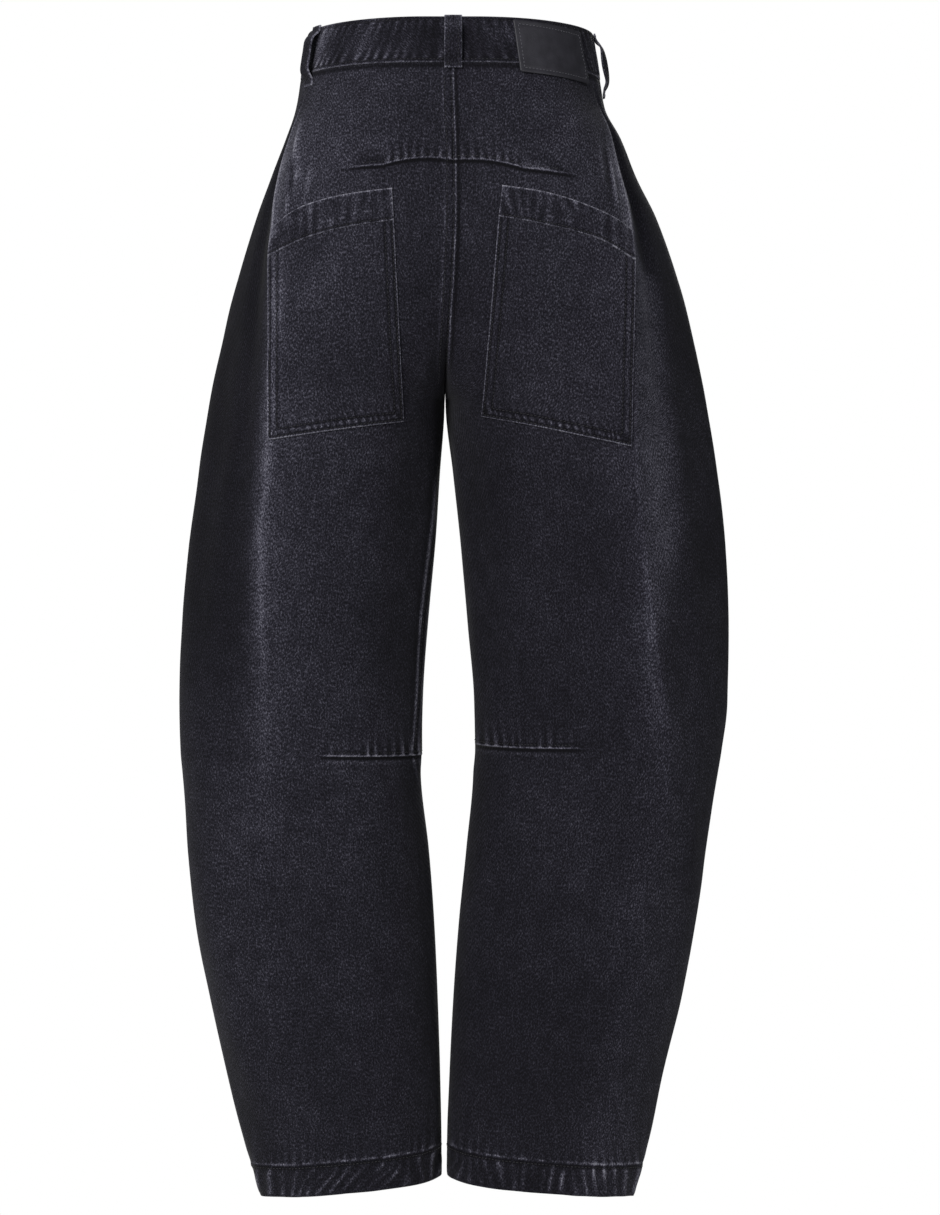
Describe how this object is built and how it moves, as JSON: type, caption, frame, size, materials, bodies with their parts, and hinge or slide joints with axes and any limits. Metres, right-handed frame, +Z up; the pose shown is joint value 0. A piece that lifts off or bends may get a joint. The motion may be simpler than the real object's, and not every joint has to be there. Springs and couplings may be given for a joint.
{
  "type": "barrel-leg jeans",
  "caption": "High-waisted barrel-leg denim jeans in their worn, filled-out form: curved hollow legs, patch pockets, darts, belt loops and a blank leather patch.",
  "frame": {"origin": "the middle of the waist, level with the waistband's top edge, where the wearer's waist holds the garment up", "axes": "+Z up; the back faces -Y and the front +Y; +X is the wearer's right"},
  "size_m": [0.4824, 0.2317, 1.022],
  "materials": {
    "denim": "washed black cotton twill, matt, paler along worn seams",
    "pocket_denim": "washed black cotton twill, matt, paler at its edges",
    "patch_leather": "smooth dark leather, softly glossy",
    "button_metal": "dark nickel-plated steel, satin"
  },
  "bodies": {
    "root": {"back_left": "denim", "back_right": "denim", "front_left": "denim", "front_right": "denim", "waistband": "denim", "fly": "denim", "belt_loop_back": "denim", "belt_loop_left": "denim", "belt_loop_right": "denim", "belt_loop_front_left": "denim", "belt_loop_front_right": "denim", "pocket_left": "pocket_denim", "pocket_right": "pocket_denim", "pocket_band_left": "pocket_denim", "pocket_band_right": "pocket_denim", "patch": "patch_leather", "button": "button_metal"}
  },
  "joints": []
}
